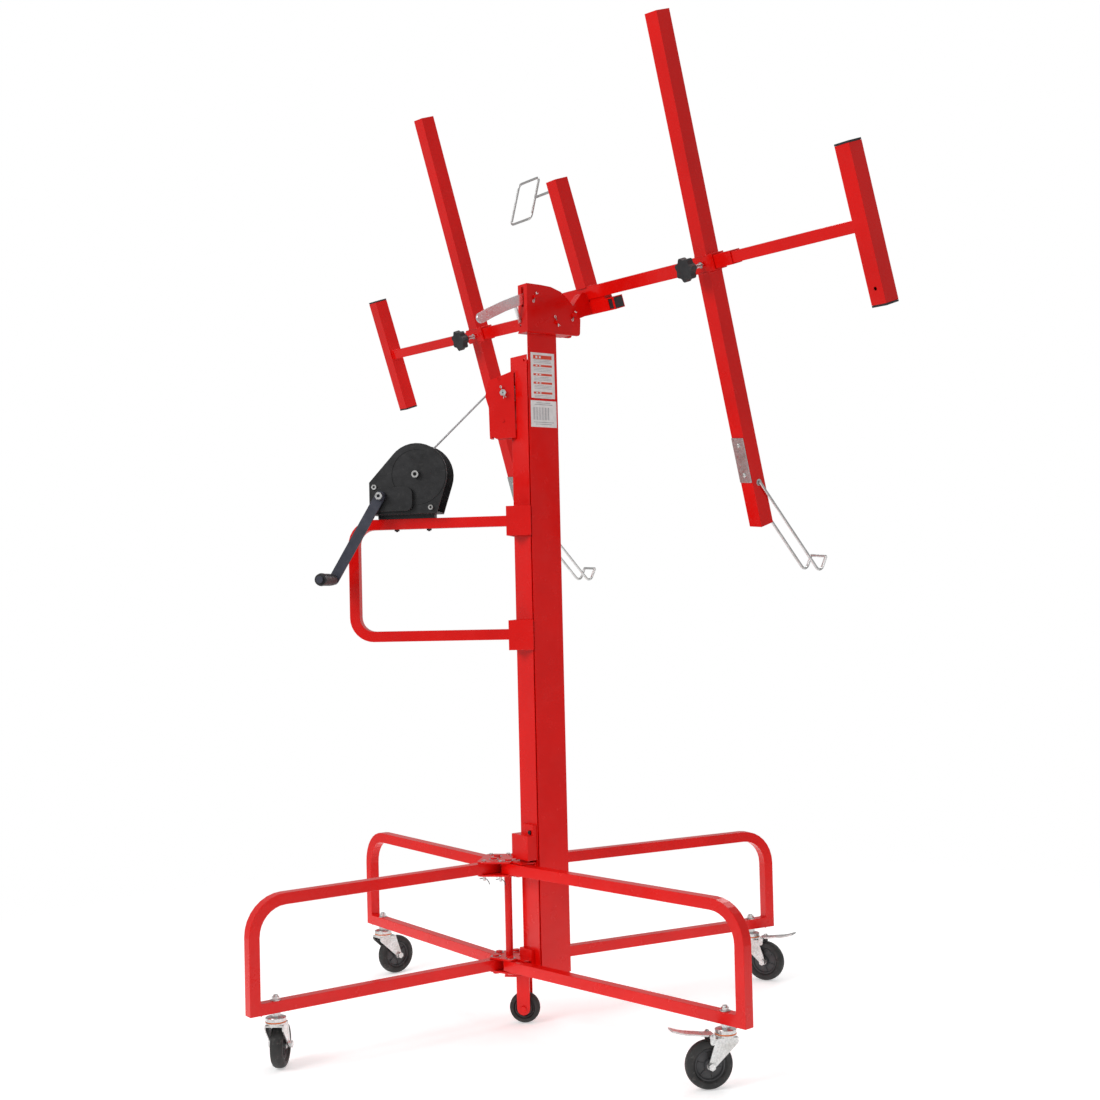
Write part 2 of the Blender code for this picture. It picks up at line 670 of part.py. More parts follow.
def make_winch():
    x, _, z = WINCH
    bottom = HANDLE_TOP + TUBE / 2 + GAP
    floor = WINCH_FLOOR
    pieces = [
        winch_cheek(NEAR_PLATE),
        winch_cheek(FAR_PLATE),
        span((-0.402, NEAR_PLATE - 0.0015, floor), (-0.236, FAR_PLATE + 0.0015, floor + 0.004)),
        span((-0.388, -0.0125, bottom), (-0.248, 0.0125, floor + 0.002)),
        rod(0.006, (x, NEAR_PLATE - 0.007, z), (x, FAR_PLATE + 0.007, z), 12),
        rod(0.0105, (x, NEAR_PLATE - 0.0085, z), (x, NEAR_PLATE - 0.001, z), 6),
        rod(0.0105, (x, FAR_PLATE + 0.001, z), (x, FAR_PLATE + 0.0085, z), 6),
    ]
    for bolt_x, bolt_z in ((-0.389, 1.2805), (-0.250, 1.228)):
        ends = ((bolt_x, NEAR_PLATE - 0.005, bolt_z), (bolt_x, FAR_PLATE + 0.005, bolt_z))
        pieces.append(rod(0.004, *ends, 10))
    for bolt_x in WINCH_BOLTS:
        pieces.append(rod(0.003, (bolt_x, 0, 1.1725), (bolt_x, 0, floor + 0.003), 10))
        pieces.append(rod(0.0065, (bolt_x, 0, 1.1745), (bolt_x, 0, 1.1782), 6))
    shaft_x, _, shaft_z = SHAFT
    shaft_hole = rod(0.0078, (shaft_x, -0.06, shaft_z), (shaft_x, 0.06, shaft_z), 12)
    part("winch_frame", black, pieces, [shaft_hole])
    inside = NEAR_PLATE + 0.0020
    gear, core, flange = 0.0735, 0.0165, 0.058
    far = FAR_PLATE - 0.0030
    drum = [
        (0.0066, far),
        (flange, far),
        (flange, far - 0.002),
        (core, far - 0.002),
        (core, inside + 0.0105),
        (flange, inside + 0.0105),
        (flange, inside + 0.0085),
        (gear - 0.010, inside + 0.0085),
        (gear, inside + 0.0075),
        (gear, inside),
        (0.0066, inside),
    ]
    part("winch_drum", zinc, [turned(drum, 32, (0, 0, 0), "y")], location=WINCH)
    crank = axes("crank_shaft", SHAFT)
    grip_x, grip_z = GRIP_POINT[0] - SHAFT[0], GRIP_POINT[1] - SHAFT[2]
    arm = padded_outline([(0, 0), (grip_x, grip_z)], 0.0125, 6)
    tip_y = NEAR_PLATE - 0.0235
    part(
        "winch_crank",
        dark_blue,
        [
            plate(arm, 0.006, "y", tip_y),
            rod(0.0070, (0, tip_y - 0.011, 0), (0, FAR_PLATE + 0.006, 0), 12),
            rod(0.0120, (0, tip_y - 0.0095, 0), (0, tip_y, 0), 6),
            rod(0.0220, (0, inside, 0), (0, inside + 0.008, 0), 24),
            rod(0.0055, (grip_x, tip_y, grip_z), (grip_x, tip_y - 0.112, grip_z), 12),
            rod(0.0085, (grip_x, tip_y - 0.108, grip_z), (grip_x, tip_y - 0.112, grip_z), 12),
        ],
        parent=crank,
    )
    grip = [
        (0.0062, -0.002),
        (0.0105, -0.002),
        (0.0135, -0.008),
        (0.0145, -0.030),
        (0.0145, -0.078),
        (0.0155, -0.092),
        (0.0140, -0.1005),
        (0.0062, -0.1005),
    ]
    part(
        "crank_grip",
        black,
        [turned(grip, 20, (0, 0, 0), "y")],
        parent=crank,
        location=(grip_x, tip_y - 0.0035, grip_z),
    )
    cover_y = NEAR_PLATE - 0.0018
    cover = padded_outline([(shaft_x, shaft_z - 0.020), (-0.309, 1.237), (-0.309, 1.262), (shaft_x, 1.262)], 0.016)
    part(
        "winch_gear_cover",
        black,
        [plate(cover, 0.012, "y", cover_y - 0.006)],
        [
            rod(0.0078, (shaft_x, -0.06, shaft_z), (shaft_x, 0.06, shaft_z), 12),
        ],
    )


def make_cable():
    """The cable leaves the drum, climbs over the pulley and runs down inside the mast."""
    x, _, z = WINCH
    reach = 0.0165 + CABLE + 0.0012
    groove = PULLEY_GROOVE + CABLE + 0.0006
    lift = math.degrees(math.atan2(PULLEY[2] - z, PULLEY[0] - x))
    across = math.dist((x, z), (PULLEY[0], PULLEY[2]))
    slant = lift + math.degrees(math.asin((groove - reach) / across))
    y = PULLEY[1]
    flat = arc((x, z), reach, slant + 200, slant + 90, 8)
    flat += arc((PULLEY[0], PULLEY[2]), groove, slant + 90, 0, 10)
    flat.append((PULLEY[0] + groove, 0.420))
    part("winch_cable", steel, [wire([(u, y, v) for u, v in flat], CABLE)])


def make_pulley():
    x, y, z = PULLEY
    outline = [
        (-0.108, 1.526),
        (-0.115, 1.489),
        (-0.107, 1.462),
        (-0.106, 1.395),
        (-0.089, 1.387),
        (-0.0515, 1.388),
        (-0.054, 1.549),
    ]
    near, far = y - 0.0112, y + 0.0112
    near_outline = [(u + 0.009, v) if u > -0.06 else (u, v) for u, v in outline]
    pieces = [
        plate(near_outline, 0.003, "y", near),
        plate(outline, 0.003, "y", far),
        span((-0.106, near, 1.3880), (-0.100, far, 1.4150)),
        rod(0.005, (x, near - 0.006, z), (x, far + 0.006, z), 12),
        rod(0.0075, (x, near - 0.0065, z), (x, near - 0.001, z), 10),
        rod(0.004, (-0.0735, near - 0.004, 1.430), (-0.0735, far + 0.004, 1.430), 10),
    ]
    hole = rod(0.0045, (-0.080, near - 0.01, 1.530), (-0.080, near + 0.01, 1.530), 12)
    part("pulley_bracket", red, pieces, [hole])
    half = 0.0050
    rim = PULLEY_GROOVE + 0.0045
    wheel = [
        (0.0056, half),
        (rim, half),
        (rim, half - 0.0008),
        (PULLEY_GROOVE, 0.0022),
        (PULLEY_GROOVE, -0.0022),
        (rim, -half + 0.0008),
        (rim, -half),
        (0.0056, -half),
    ]
    part("cable_pulley", zinc, [turned(wheel, 24, (0, 0, 0), "y")], location=PULLEY)


# ---------------------------------------------------------------- head


def make_head(mast):
    seat = HEAD_SEAT + GAP
    outline = [(-0.0485, seat), (0.0945, seat), *arc((0.0945, seat + 0.008), 0.008, -60, 0, 3)]
    outline += [(0.1045, 1.673), (0.091, 1.696), (0.065, 1.722), (0.047, 1.735), (0.018, 1.744)]
    outline += [(-0.011, 1.746), (-0.0485, 1.7466)]
    middle = (HEAD_LEFT + HEAD_RIGHT) / 2
    pieces = [
        plate(outline, HEAD_WALL, "x", HEAD_LEFT + HEAD_WALL / 2),
        plate(outline, HEAD_WALL, "x", HEAD_RIGHT - HEAD_WALL / 2),
        span((HEAD_LEFT, -0.0515, seat), (HEAD_RIGHT, -0.0480, 1.7466)),
        span((0.0110, -0.0500, seat), (HEAD_RIGHT + 0.002, 0.0750, seat + 0.0040)),
    ]
    for (away, up), radius in ((LEVER_PIVOT, 0.0045), (STOP_PIN, 0.0045), (CRADLE_PIVOT, 0.0060)):
        ends = ((HEAD_LEFT - 0.006, away, up), (HEAD_RIGHT + 0.007, away, up))
        pieces.append(rod(radius, *ends, 12))
        pieces.append(rod(radius + 0.0035, ends[0], (HEAD_LEFT + 0.001, away, up), 12))
    slot = span((middle - 0.0050, -0.06, 1.693), (middle + 0.0050, -0.04, 1.7405))
    spring_hole = rod(0.0028, (0.0235, -0.06, 1.650), (0.0235, -0.04, 1.650), 10)
    part("head_bracket", red, pieces, [slot, spring_hole], parent=mast)

    lever = axes("lever_axis", (middle, *LEVER_PIVOT), (0, 0, 0), mast)
    spine = [(0.010, 0.0035), (-0.012, -0.0015), (-0.035, -0.0090), (-0.077, -0.0265)]
    spine += [(-0.112, -0.0435), (-0.141, -0.059)]
    half = 0.0125
    upper, under = [], []
    for i, point in enumerate(spine):
        before, after = spine[max(i - 1, 0)], spine[min(i + 1, len(spine) - 1)]
        run = Vector((after[0] - before[0], after[1] - before[1])).normalized()
        upper.append((point[0] + run[1] * half, point[1] - run[0] * half))
        under.append((point[0] - run[1] * half, point[1] + run[0] * half))
    end = math.degrees(math.atan2(upper[-1][1] - under[-1][1], upper[-1][0] - under[-1][0]))
    tip = arc(spine[-1], half, end, end + 180, 8)
    start = math.degrees(math.atan2(under[0][1] - upper[0][1], under[0][0] - upper[0][0]))
    heel = arc(spine[0], half, start, start + 180, 8)
    outline = [*upper[1:-1], *tip, *reversed(under[1:-1]), *heel]
    part(
        "tilt_lever",
        bright,
        [plate(outline, 0.006, "x", 0.0)],
        [rod(0.0051, (-0.01, 0, 0), (0.01, 0, 0), 12)],
        parent=lever,
    )


# ---------------------------------------------------------------- cradle


def square_tube(side, wall, low, high, axis):
    """A square tube between two places on an axis: the outside and the bore that cuts it."""
    solids = []
    for width, extra in ((side, 0.0), (side - 2 * wall, 0.01)):
        half = width / 2
        low_corner = [-half, -half, -half]
        high_corner = [half, half, half]
        low_corner[axis] = low - extra
        high_corner[axis] = high + extra
        solids.append(span(low_corner, high_corner))
    return solids


def shift(piece, offset):
    piece.data.transform(Matrix.Translation(offset))
    return piece


def make_bar(bar):
    """Two parallel tubes, each for one extension, with a post above and a pivot lug behind."""
    turn = Matrix.Rotation(BAR_TURN, 4, "Y")
    pieces, cuts = [], []
    for tag, side in (("right", 1), ("left", -1)):
        place = turn @ Matrix.Translation((0, 0, side * BAR_STEP))
        solids = square_tube(BAR, (BAR - BAR_INSIDE) / 2, *BAR_ENDS[tag], 0)
        for solid, kept in zip(solids, (pieces, cuts)):
            solid.data.transform(place)
            kept.append(solid)
    gap_half = BAR_STEP - BAR / 2 + 0.0005
    web = span((-0.050, -0.012, -gap_half), (0.100, 0.012, gap_half))
    web.data.transform(turn)
    notch = span((0.113, -0.020, -BAR_STEP - 0.0120), (0.129, -0.008, -BAR_STEP + 0.0120))
    notch.data.transform(turn)
    foot = BAR_STEP + BAR / 2 - 0.0015
    post, post_bore = square_tube(ARM, ARM_WALL, foot, 0.298, 2)
    post_bore.data.transform(Matrix.Translation((0, 0, 0.012)))
    pivot = Vector(BAR_FROM_PIVOT) * -1
    lug_x = (HEAD_LEFT + HEAD_RIGHT) / 2 - BAR_FROM_PIVOT[0]
    lug = padded_outline([(pivot[1], pivot[2]), (-0.0262, -0.0195), (-0.0262, 0.0100)], 0.0125, 6)
    part(
        "cradle_bar",
        red,
        [
            *pieces,
            web,
            shift(post, (POST_ACROSS, 0, 0)),
            plate(lug, 0.026, "x", lug_x),
            rod(0.0035, (POST_ACROSS - 0.024, 0, 0.277), (POST_ACROSS - 0.018, 0, 0.277), 10),
        ],
        [
            *cuts,
            notch,
            shift(post_bore, (POST_ACROSS, 0, 0)),
            rod(0.0066, (lug_x - 0.03, pivot[1], pivot[2]), (lug_x + 0.03, pivot[1], pivot[2]), 16),
        ],
        parent=bar,
    )
    swivel = axes("loop_axis", (POST_ACROSS - 0.0243, 0, 0.277), (LOOP_TURN, 0, 0), bar)
    stem = -0.075
    ring = [(stem, -0.0545), (-0.162, -0.0545), (-0.162, 0.0545), (stem, 0.0545)]
    route = rounded_route([(stem, -0.003), *ring, (stem, 0.003)], 0.010, 4)
    pieces = [
        wire([(u, 0, v) for u, v in route], 0.0030),
        wire([(0, 0, 0), (stem, 0, 0)], 0.0032),
        rod(0.0060, (-0.006, 0, 0), (-0.001, 0, 0), 6),
    ]
    part("top_wire_loop", zinc, pieces, parent=swivel)


def make_extension(tag, side, bar):
    """An extension tube that slides in the bar, with its end bar and two plastic caps."""
    inner = 0.380
    place = END_BAR_PLACE
    slide = axes("extension_slide_" + tag, (0, 0, 0), (0, 0, 0), bar)
    low, high = sorted((side * inner, side * (place - ARM / 2 + 0.001)))
    tube, bore = square_tube(TUBE, TUBE_WALL, low, high, 0)
    bore.data.transform(Matrix.Translation((-side * 0.014, 0, 0)))
    half = END_BAR_LENGTH / 2
    end, end_bore = square_tube(ARM, ARM_WALL, -half, half, 2)
    cuts = [bore, shift(end_bore, (side * place, 0, 0))]
    if side > 0:
        cuts.append(rod(0.0040, (place, -0.03, -0.127), (place, -0.01, -0.127), 10))
    part("cradle_extension_" + tag, red, [tube, shift(end, (side * place, 0, 0))], cuts, parent=slide)
    for level, up in (("top", 1), ("bottom", -1)):
        flange = box((ARM, ARM, 0.004), (side * place, 0, up * (half + 0.002 + GAP)))
        plug_side = ARM - 2 * ARM_WALL - 2 * GAP
        plug = box((plug_side, plug_side, 0.020), (side * place, 0, up * (half - 0.008)))
        part("end_cap_" + tag + "_" + level, black, [flange, plug], parent=slide)


def make_arm(tag, side, bar, lean, rise, drop):
    """A cross arm: a sleeve that slides on the bar with a tube welded above and below it."""
    clamp = axes("arm_clamp_" + tag, (side * ARM_PLACE, 0, 0), (0, 0, 0), bar)
    outer, hole = square_tube(SLEEVE, (SLEEVE - SLEEVE_INSIDE) / 2, -SLEEVE_LENGTH / 2, SLEEVE_LENGTH / 2, 0)
    tilt = Matrix.Rotation(lean, 4, "Y")
    pieces, cuts = [outer], [hole]
    weld = SLEEVE / 2 - 0.0015
    for low, high in ((weld, rise), (-drop, -weld)):
        tube, bore = square_tube(ARM, ARM_WALL, low, high, 2)
        bore.data.transform(Matrix.Translation((0, 0, 0.014 if low > 0 else -0.014)))
        for piece in (tube, bore):
            piece.data.transform(tilt)
        pieces.append(tube)
        cuts.append(bore)
    pivot = rod(0.0041, (-0.03, 0, HOOK_PIVOT[tag]), (0.03, 0, HOOK_PIVOT[tag]), 12)
    pivot.data.transform(tilt @ pivot.matrix_world)
    pivot.matrix_world = Matrix.Identity(4)
    cuts.append(pivot)
    stud = (0, -SLEEVE / 2 - 0.044, 0)
    pieces.append(rod(0.0040, stud, (0, -SLEEVE / 2 + 0.001, 0), 10))
    pieces.append(rod(0.0085, (0, -SLEEVE / 2 - 0.005, 0), (0, -SLEEVE / 2 + 0.001, 0), 6))
    part("cross_arm_" + tag, red, pieces, cuts, parent=clamp)
    knob = axes("knob_axis_" + tag, (0, -SLEEVE / 2 - 0.030, 0), (0, 0, 0), clamp)
    lobes = 7
    star = []
    for i in range(lobes * 6):
        t = 2 * math.pi * i / (lobes * 6)
        reach = 0.0245 + 0.0028 * math.cos(lobes * t)
        star.append((reach * math.cos(t), reach * math.sin(t)))
    part(
        "star_knob_" + tag,
        black,
        [plate(star, 0.016, "y", -0.020), rod(0.0125, (0, 0, 0), (0, -0.013, 0), 20)],
        [rod(0.0046, (0, 0.01, 0), (0, -0.016, 0), 12)],
        parent=knob,
    )
    hook_rest = axes("arm_tilt_" + tag, (0, 0, 0), (0, lean, 0), clamp)
    make_hook(tag, hook_rest)


def make_hook(tag, arm):
    """A board hook near the arm's foot: a bent wire that swings on a rod through the arm."""
    half = ARM / 2
    part(
        "hook_saddle_" + tag,
        zinc,
        [span((-half + 0.001, -half - 0.0030, -0.500), (half - 0.001, -half - GAP, -0.395))],
        parent=arm,
    )
    hinge = axes("hook_axis_" + tag, (0, 0, HOOK_PIVOT[tag]), (0, 0, 0), arm)
    legs = []
    for side in (-1, 1):
        flat = rounded_route([(0.0, 0.0), (0.131, -0.263), (0.160, -0.231)], 0.012, 5)
        legs.append([(side * HOOK_HALF, u, v) for u, v in flat])
    end = legs[0][-1]
    bridge = [end, (-end[0], end[1], end[2])]
    pieces = [wire([*reversed(legs[0]), *legs[1]], HOOK_WIRE), wire(bridge, HOOK_WIRE)]
    part("board_hook_" + tag, zinc, pieces, parent=hinge)


def make_cradle(mast):
    cradle = axes("cradle_pivot", (0, *CRADLE_PIVOT), (CRADLE_LEAN, 0, 0), mast)
    bar = axes("bar_centre", BAR_FROM_PIVOT, (0, 0, 0), cradle)
    make_bar(bar)
    step = Matrix.Rotation(BAR_TURN, 3, "Y") @ Vector((0, 0, BAR_STEP))
    arms = {"right": (1, 5.0, 0.542, 0.606), "left": (-1, 2.8, 0.580, 0.568)}
    for tag, (side, lean, rise, drop) in arms.items():
        line = axes("bar_line_" + tag, side * step, (0, BAR_TURN, 0), bar)
        make_extension(tag, side, line)
        make_arm(tag, side, line, math.radians(lean) - BAR_TURN, rise, drop)


clear_scene()
parts = new_collection("drywall_lift")
cutters = new_collection("cutters")
red = paint("red powder coat", RED, 0.25, 0.0)
zinc = paint("zinc plate", ZINC, 0.35, 1.0)
bright = paint("polished steel", (0.86, 0.87, 0.88), 0.2, 1.0)
steel = paint("steel cable", (0.55, 0.55, 0.55), 0.4, 1.0)
black = paint("black paint", BLACK, 0.45, 0.0)
dark_blue = paint("blue-black paint", DARK_BLUE, 0.5, 0.0)
rubber = paint("black rubber", RUBBER, 0.7, 0.0)
axes(MAST_FRAME, (*MAST_PLACE, 0))

make_hubs()
make_legs()
make_centre_wheel()
mast_frame = make_mast()
make_handle()
make_winch()
make_cable()
make_pulley()
make_head(mast_frame)
make_cradle(mast_frame)
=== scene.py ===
"""Looks of the drywall panel lift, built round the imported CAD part, in metres."""

import json
import math
import random

import bmesh
import bpy
from mathutils import Matrix, Vector


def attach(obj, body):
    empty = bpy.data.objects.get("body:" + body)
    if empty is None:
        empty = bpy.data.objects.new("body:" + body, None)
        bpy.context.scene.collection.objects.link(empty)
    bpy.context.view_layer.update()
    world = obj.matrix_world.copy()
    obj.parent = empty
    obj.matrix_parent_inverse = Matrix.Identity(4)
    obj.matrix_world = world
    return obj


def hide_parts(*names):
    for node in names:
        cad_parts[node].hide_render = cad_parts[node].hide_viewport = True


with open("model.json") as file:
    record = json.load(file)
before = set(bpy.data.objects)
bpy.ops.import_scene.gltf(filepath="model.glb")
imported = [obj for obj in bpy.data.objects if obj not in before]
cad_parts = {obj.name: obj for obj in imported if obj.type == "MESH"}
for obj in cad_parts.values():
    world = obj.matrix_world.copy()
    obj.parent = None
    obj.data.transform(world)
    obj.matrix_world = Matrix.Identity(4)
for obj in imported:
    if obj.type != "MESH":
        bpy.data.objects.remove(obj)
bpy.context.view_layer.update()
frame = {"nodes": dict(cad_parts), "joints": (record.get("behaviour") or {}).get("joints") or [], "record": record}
NODES = frame["nodes"]
JOINTS = {joint["name"]: joint for joint in frame["joints"]}
chance = random.Random(7)

# ------------------------------------------------------------- sizes and frames of the CAD part

HALF_ROOT = math.sqrt(0.5)
MAST = Vector((-0.10886, -0.10179, 0.0))
ACROSS = Vector((HALF_ROOT, -HALF_ROOT, 0))
AWAY = Vector((HALF_ROOT, HALF_ROOT, 0))
X, Y, Z = Vector((1, 0, 0)), Vector((0, 1, 0)), Vector((0, 0, 1))
LEAN = math.radians(18.24)
FACE = AWAY * math.cos(LEAN) + Z * math.sin(LEAN)
RISE = Z * math.cos(LEAN) - AWAY * math.sin(LEAN)
BAR_TURN = 0.020
BAR_RUN = ACROSS * math.cos(BAR_TURN) - RISE * math.sin(BAR_TURN)
BAR_UP = ACROSS * math.sin(BAR_TURN) + RISE * math.cos(BAR_TURN)
SIDES = {"right": 1, "left": -1}

# legs and wheels; a wheel is its radius, half its width and the radius of its rim
RAIL_LEVELS = (0.3705, 0.1421)
HUB_REACH = 0.0125 + 0.0005 + 0.0040
HUB_TOP = RAIL_LEVELS[0] + HUB_REACH
HUB_UNDERSIDE = RAIL_LEVELS[0] - HUB_REACH
CASTERS = ("front_left", "rear_left", "front_right", "rear_right")
LEG_ENDS = {"front_left": 0.638, "rear_left": 0.638, "front_right": 0.7235, "rear_right": 0.7505}
CASTER_WHEEL = (0.050, 0.014, 0.0335)
CENTRE_WHEEL = (0.0363, 0.0125, 0.0245)
HUB_PINS = ((-0.1385, -0.0445), (-0.1385, 0.0445), (-0.098, -0.0515), (-0.098, 0.0515))

# winch and pulley; a centre is its X and Z from the mast's foot
DRUM = (-0.285, 1.308)
CRANK_SHAFT = (-0.369, 1.257)
FRAME_BOLTS = ((-0.389, 1.2805), (-0.250, 1.228))
PULLEY = (-0.070, 1.496)
CABLE_PLANE = -0.0106
HANDLE_JOINS = {"upper": 1.191, "lower": 0.920}

# head and cradle
LABEL_FACE = 0.0355
HEAD_PINS = ((-0.029, 1.716, 1), (0.033, 1.661, -1), (0.084, 1.681, 1))
ARM_STATION = 0.4655
BAR_END = 0.93
ARM_LEAN = {"right": math.radians(5.0), "left": math.radians(2.8)}
ARM_REACH = {
    ("top", "right"): 0.542,
    ("foot", "right"): 0.606,
    ("top", "left"): 0.580,
    ("foot", "left"): 0.568,
}
HOOK_PIVOT = {"right": -0.505, "left": -0.490}


def mast(across, away, up):
    return MAST + ACROSS * across + AWAY * away + Z * up


BAR_MIDDLE = mast(0, 0.084, 1.681) + ACROSS * 0.005 + FACE * 0.0761 + RISE * 0.0234


def cradle(across, face, up):
    return BAR_MIDDLE + ACROSS * across + FACE * face + RISE * up


def bar_line(side, along, face, up):
    """A point by one of the two bars: side is 1 for the right bar and -1 for the left."""
    return BAR_MIDDLE + BAR_UP * (side * 0.0186 + up) + BAR_RUN * along + FACE * face


def arm_axes(tag):
    """The directions across and up a cross arm."""
    lean = ARM_LEAN[tag]
    run = ACROSS * math.cos(lean) - RISE * math.sin(lean)
    return run, ACROSS * math.sin(lean) + RISE * math.cos(lean)


def handle(x, y, z):
    return MAST + Vector((x, y, z))


# ------------------------------------------------------------- camera, lights, floor

ROOM_LIGHT = 0.40
FLOOR_FADE = (1.1, 2.3)
FLOOR_GLOW = 0.40


def make_camera():
    forward = Vector((-0.1624, 0.9863, 0.0284)).normalized()
    level = forward.cross(Z).normalized()
    up = level.cross(forward)
    roll = math.radians(1.34)
    right = level * math.cos(roll) - up * math.sin(roll)
    top = level * math.sin(roll) + up * math.cos(roll)
    camera = bpy.data.cameras.new("camera")
    camera.sensor_width = 36.0
    camera.lens = 50.727
    camera.clip_start, camera.clip_end = 0.05, 100.0
    made = bpy.data.objects.new("camera", camera)
    turn = Matrix((right, top, -forward)).transposed().to_4x4()
    made.matrix_world = Matrix.Translation((0.52094, -3.74719, 1.0139)) @ turn
    bpy.context.scene.collection.objects.link(made)
    bpy.context.scene.camera = made


def area_light(name, place, target, size, power, colour=(1, 1, 1)):
    light = bpy.data.lights.new(name, "AREA")
    light.shape = "DISK"
    light.size = size
    light.energy = power
    light.color = colour
    made = bpy.data.objects.new(name, light)
    aim = Vector(target) - Vector(place)
    turn = aim.to_track_quat("-Z", "Y").to_matrix().to_4x4()
    made.matrix_world = Matrix.Translation(place) @ turn
    bpy.context.scene.collection.objects.link(made)


def make_lights():
    area_light("key", (-3.2, -3.4, 3.4), (-0.1, 0, 1.1), 2.6, 118)
    area_light("fill", (3.6, -2.6, 1.8), (0, 0, 1.0), 2.4, 16)
    area_light("top", (0.2, 0.4, 4.6), (0, 0, 0.8), 3.0, 40)
    area_light("rim", (1.6, 3.6, 2.8), (0, 0, 1.1), 2.2, 28)
    world = bpy.data.worlds.new("studio")
    world.use_nodes = True
    tree = world.node_tree
    light = tree.nodes["Background"]
    light.inputs["Color"].default_value = (1, 1, 1, 1)
    light.inputs["Strength"].default_value = ROOM_LIGHT
    backdrop = tree.nodes.new("ShaderNodeBackground")
    backdrop.inputs["Color"].default_value = (1, 1, 1, 1)
    backdrop.inputs["Strength"].default_value = 1.0
    seen = tree.nodes.new("ShaderNodeLightPath")
    either = tree.nodes.new("ShaderNodeMixShader")
    tree.links.new(seen.outputs["Is Camera Ray"], either.inputs["Fac"])
    tree.links.new(light.outputs["Background"], either.inputs[1])
    tree.links.new(backdrop.outputs["Background"], either.inputs[2])
    tree.links.new(either.outputs["Shader"], tree.nodes["World Output"].inputs["Surface"])
    bpy.context.scene.world = world
    bpy.context.scene.view_settings.view_transform = "Standard"


# ------------------------------------------------------------- materials


class Nodes:
    """Short calls for the nodes of one material."""

    def __init__(self, name):
        self.material = bpy.data.materials.new(name)
        self.material.use_nodes = True
        self.tree = self.material.node_tree
        self.shader = self.tree.nodes["Principled BSDF"]
        self.place = self.add("ShaderNodeTexCoord").outputs["Object"]

    def add(self, kind, **values):
        node = self.tree.nodes.new(kind)
        for key, value in values.items():
            setattr(node, key, value)
        return node

    def link(self, source, target):
        self.tree.links.new(source, target)

    def noise(self, scale, detail=3.0, rough=0.55, stretch=None):
        node = self.add("ShaderNodeTexNoise")
        node.inputs["Scale"].default_value = scale
        node.inputs["Detail"].default_value = detail
        node.inputs["Roughness"].default_value = rough
        place = self.place
        if stretch:
            mapping = self.add("ShaderNodeMapping")
            mapping.inputs["Scale"].default_value = stretch
            self.link(place, mapping.inputs["Vector"])
            place = mapping.outputs["Vector"]
        self.link(place, node.inputs["Vector"])
        return node.outputs["Fac"]

    def ramp(self, source, stops):
        node = self.add("ShaderNodeValToRGB")
        band = node.color_ramp.elements
        while len(band) < len(stops):
            band.new(0.5)
        for slot, (place, colour) in zip(band, stops):
            slot.position = place
            slot.color = (*colour, 1.0) if len(colour) == 3 else colour
        self.link(source, node.inputs["Fac"])
        return node.outputs["Color"]

    def span(self, source, low, high, start=0.3, stop=0.7):
        node = self.add("ShaderNodeMapRange")
        limits = {"From Min": start, "From Max": stop, "To Min": low, "To Max": high}
        for key, value in limits.items():
            node.inputs[key].default_value = value
        self.link(source, node.inputs["Value"])
        return node.outputs["Result"]

    def mix(self, share, first, second):
        node = self.add("ShaderNodeMix", data_type="RGBA")
        self.link(share, node.inputs["Factor"])
        for source, slot in ((first, node.inputs["A"]), (second, node.inputs["B"])):
            if hasattr(source, "links"):
                self.link(source, slot)
            else:
                slot.default_value = (*source, 1.0)
        return node.outputs["Result"]

    def bump(self, layers):
        """Height layers of (source, strength, distance), one over another."""
        normal = None
        for source, strength, distance in layers:
            node = self.add("ShaderNodeBump")
            node.inputs["Strength"].default_value = strength
            node.inputs["Distance"].default_value = distance
            self.link(source, node.inputs["Height"])
            if normal:
                self.link(normal, node.inputs["Normal"])
            normal = node.outputs["Normal"]
        self.link(normal, self.shader.inputs["Normal"])

    def set(self, **values):
        for key, value in values.items():
            self.shader.inputs[key.replace("_", " ")].default_value = value
        return self


def powder_coat(name, colour, deep, gloss=(0.17, 0.30)):
    """Sprayed gloss paint: faint orange peel, cloudy colour, small scuffs and dust."""
    made = Nodes(name)
    cloud = made.noise(5.0, 4.0)
    paint = made.ramp(cloud, [(0.30, deep), (0.70, colour)])
    scuff = made.noise(46.0, 9.0, 0.72, (1.0, 1.0, 0.35))
    marks = made.span(scuff, 0.0, 0.25, 0.69, 0.78)
    worn = tuple(0.55 * part + 0.06 for part in deep)
    paint = made.mix(marks, paint, worn)
    dust = made.span(made.noise(17.0, 8.0, 0.65), 0.0, 0.015, 0.52, 0.80)
    paint = made.mix(dust, paint, (0.62, 0.56, 0.52))
    made.link(paint, made.shader.inputs["Base Color"])
    rough = made.noise(28.0, 6.0, 0.6)
    made.link(made.span(rough, *gloss), made.shader.inputs["Roughness"])
    peel = made.noise(420.0, 2.0)
    waves = made.noise(70.0, 2.0)
    made.bump([(waves, 0.10, 0.0006), (peel, 0.12, 0.00025), (scuff, 0.05, 0.0003)])
    made.set(Coat_Weight=0.10, Coat_Roughness=0.08, Specular_IOR_Level=0.30)
    return made.material


